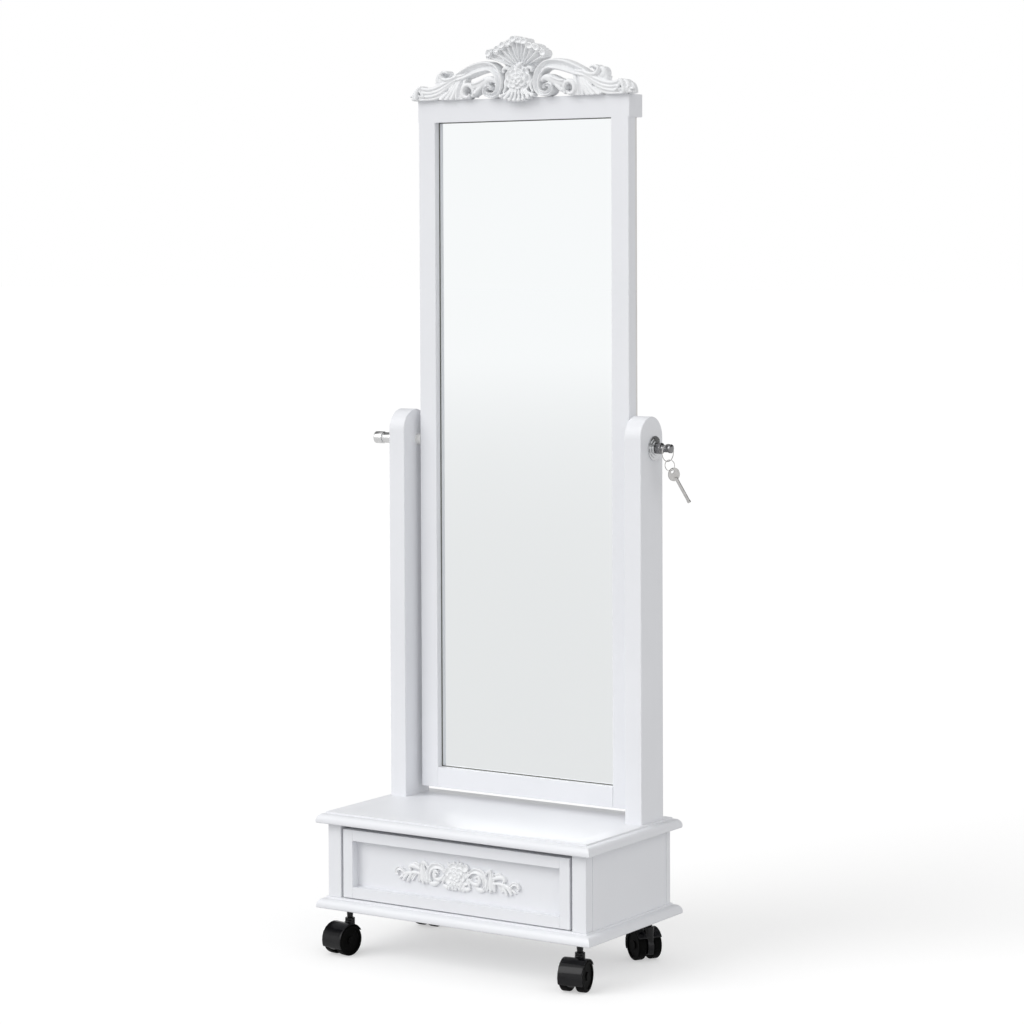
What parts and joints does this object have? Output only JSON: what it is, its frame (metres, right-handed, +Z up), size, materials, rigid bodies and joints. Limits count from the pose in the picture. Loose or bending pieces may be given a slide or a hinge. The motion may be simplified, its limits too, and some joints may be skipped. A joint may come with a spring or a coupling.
{
  "type": "cheval mirror on a drawer base",
  "caption": "Tall tilting mirror in a white frame with a carved crown, hung between round-topped posts on a moulded drawer base that rolls on hooded casters; a key hangs at a side knob.",
  "frame": {"origin": "on the floor, under the middle of the base", "axes": "+X to the right of someone who faces the mirror, -Y to the front where the drawer pulls out, +Z up"},
  "size_m": [0.5773, 0.2917, 1.447],
  "materials": {
    "white_paint": "satin white paint on wood",
    "white_carving": "satin white paint on carved ornament",
    "plain_board": "white faced board",
    "bare_wood": "clear finished softwood",
    "felt": "soft felt",
    "mirror": "silvered glass",
    "white_plastic": "moulded white plastic",
    "steel": "zinc plated",
    "brass": "plain brass",
    "chrome": "bright plate",
    "key_metal": "satin nickel plate",
    "zinc_sleeve": "zinc plated",
    "caster_black": "glossy black",
    "caster_wheel": "black"
  },
  "bodies": {
    "base": {"base_top_board": "white_paint", "base_bottom_board": "white_paint", "front_stile_right": "white_paint", "front_stile_left": "white_paint", "side_panel_right": "white_paint", "side_panel_left": "white_paint", "back_panel": "plain_board", "drawer_runner_right": "bare_wood", "drawer_runner_left": "bare_wood", "post_right": "white_paint", "post_left": "white_paint", "post_screws": "steel", "post_bushings": "white_plastic", "pivot_spacers": "white_plastic", "escutcheon_right": "chrome", "escutcheon_left": "chrome", "caster_sleeves": "zinc_sleeve", "caster_stems": "caster_black"},
    "drawer": {"drawer_stile_right": "white_paint", "drawer_stile_left": "white_paint", "drawer_rail_bottom": "white_paint", "drawer_rail_top": "white_paint", "drawer_field_panel": "white_paint", "drawer_applique": "white_carving", "drawer_side_right": "bare_wood", "drawer_side_left": "bare_wood", "drawer_back": "bare_wood", "drawer_bottom": "bare_wood", "drawer_lining": "felt"},
    "mirror": {"mirror_stile_right": "white_paint", "mirror_stile_left": "white_paint", "mirror_head_rail": "white_paint", "mirror_bottom_rail": "white_paint", "mirror_glass": "mirror", "mirror_packing": "plain_board", "mirror_backing_board": "plain_board", "backing_screws": "steel", "pivot_inserts": "brass", "crown_carving": "white_carving"},
    "knob_right": {"knob_right": "chrome", "pivot_stud_right": "steel"},
    "knob_left": {"knob_left": "chrome", "pivot_stud_left": "steel"},
    "large_ring": {"key_ring_large": "key_metal"},
    "small_ring": {"key_ring_small": "key_metal"},
    "key": {"key": "key_metal"},
    "caster_front_left": {"caster_front_left_housing": "caster_black"},
    "caster_front_left_wheel_left": {"caster_front_left_wheel_left": "caster_wheel"},
    "caster_front_left_wheel_right": {"caster_front_left_wheel_right": "caster_wheel"},
    "caster_front_right": {"caster_front_right_housing": "caster_black"},
    "caster_front_right_wheel_left": {"caster_front_right_wheel_left": "caster_wheel"},
    "caster_front_right_wheel_right": {"caster_front_right_wheel_right": "caster_wheel"},
    "caster_rear_left": {"caster_rear_left_housing": "caster_black"},
    "caster_rear_left_wheel_left": {"caster_rear_left_wheel_left": "caster_wheel"},
    "caster_rear_left_wheel_right": {"caster_rear_left_wheel_right": "caster_wheel"},
    "caster_rear_right": {"caster_rear_right_housing": "caster_black"},
    "caster_rear_right_wheel_left": {"caster_rear_right_wheel_left": "caster_wheel"},
    "caster_rear_right_wheel_right": {"caster_rear_right_wheel_right": "caster_wheel"}
  },
  "joints": [
    {"name": "mirror_tilt", "type": "hinge", "parent": "base", "child": "mirror", "pos_m": [0, 0.082, 0.8035], "axis": [1, 0, 0], "range_deg": [-90, 90]},
    {"name": "drawer_slide", "type": "slide", "parent": "base", "child": "drawer", "axis": [0, -1, 0], "range_m": [0, 0.15]},
    {"name": "knob_right_turn", "type": "hinge", "parent": "mirror", "child": "knob_right", "pos_m": [0.2435, 0.082, 0.8035], "axis": [1, 0, 0], "range_deg": [0, 360]},
    {"name": "knob_left_turn", "type": "hinge", "parent": "mirror", "child": "knob_left", "pos_m": [-0.2435, 0.082, 0.8035], "axis": [-1, 0, 0], "range_deg": [0, 360]},
    {"name": "large_ring_swing", "type": "hinge", "parent": "base", "child": "large_ring", "pos_m": [0.2621, 0.082, 0.8035], "axis": [1, 0, 0], "range_deg": [-50, 50]},
    {"name": "small_ring_swing", "type": "hinge", "parent": "large_ring", "child": "small_ring", "pos_m": [0.2621, 0.082, 0.7838], "axis": [0.1736, 0.9848, 0], "range_deg": [-30, 30]},
    {"name": "key_swing", "type": "hinge", "parent": "small_ring", "child": "key", "pos_m": [0.26912, 0.082, 0.77016], "axis": [-0.9026, 0.4305, 0], "range_deg": [-40, 40]},
    {"name": "caster_front_left_swivel", "type": "hinge", "parent": "base", "child": "caster_front_left", "pos_m": [-0.215, -0.101, 0.0555], "axis": [0, 0, 1], "continuous": true},
    {"name": "caster_front_left_wheel_left_spin", "type": "hinge", "parent": "caster_front_left", "child": "caster_front_left_wheel_left", "pos_m": [-0.20459, -0.11963, 0.024], "axis": [0.9903, -0.1392, 0], "continuous": true},
    {"name": "caster_front_left_wheel_right_spin", "type": "hinge", "parent": "caster_front_left", "child": "caster_front_left_wheel_right", "pos_m": [-0.23014, -0.11604, 0.024], "axis": [0.9903, -0.1392, 0], "continuous": true},
    {"name": "caster_front_right_swivel", "type": "hinge", "parent": "base", "child": "caster_front_right", "pos_m": [0.215, -0.101, 0.0555], "axis": [0, 0, 1], "continuous": true},
    {"name": "caster_front_right_wheel_left_spin", "type": "hinge", "parent": "caster_front_right", "child": "caster_front_right_wheel_left", "pos_m": [0.23091, -0.11523, 0.024], "axis": [0.9816, 0.1908, 0], "continuous": true},
    {"name": "caster_front_right_wheel_right_spin", "type": "hinge", "parent": "caster_front_right", "child": "caster_front_right_wheel_right", "pos_m": [0.20558, -0.12015, 0.024], "axis": [0.9816, 0.1908, 0], "continuous": true},
    {"name": "caster_rear_left_swivel", "type": "hinge", "parent": "base", "child": "caster_rear_left", "pos_m": [-0.215, 0.101, 0.0555], "axis": [0, 0, 1], "continuous": true},
    {"name": "caster_rear_left_wheel_left_spin", "type": "hinge", "parent": "caster_rear_left", "child": "caster_rear_left_wheel_left", "pos_m": [-0.2279, 0.118, 0.024], "axis": [-1, 0, 0], "continuous": true},
    {"name": "caster_rear_left_wheel_right_spin", "type": "hinge", "parent": "caster_rear_left", "child": "caster_rear_left_wheel_right", "pos_m": [-0.2021, 0.118, 0.024], "axis": [-1, 0, 0], "continuous": true},
    {"name": "caster_rear_right_swivel", "type": "hinge", "parent": "base", "child": "caster_rear_right", "pos_m": [0.215, 0.101, 0.0555], "axis": [0, 0, 1], "continuous": true},
    {"name": "caster_rear_right_wheel_left_spin", "type": "hinge", "parent": "caster_rear_right", "child": "caster_rear_right_wheel_left", "pos_m": [0.19375, 0.09907, 0.024], "axis": [-0.5299, -0.848, 0], "continuous": true},
    {"name": "caster_rear_right_wheel_right_spin", "type": "hinge", "parent": "caster_rear_right", "child": "caster_rear_right_wheel_right", "pos_m": [0.20742, 0.12095, 0.024], "axis": [-0.5299, -0.848, 0], "continuous": true}
  ]
}
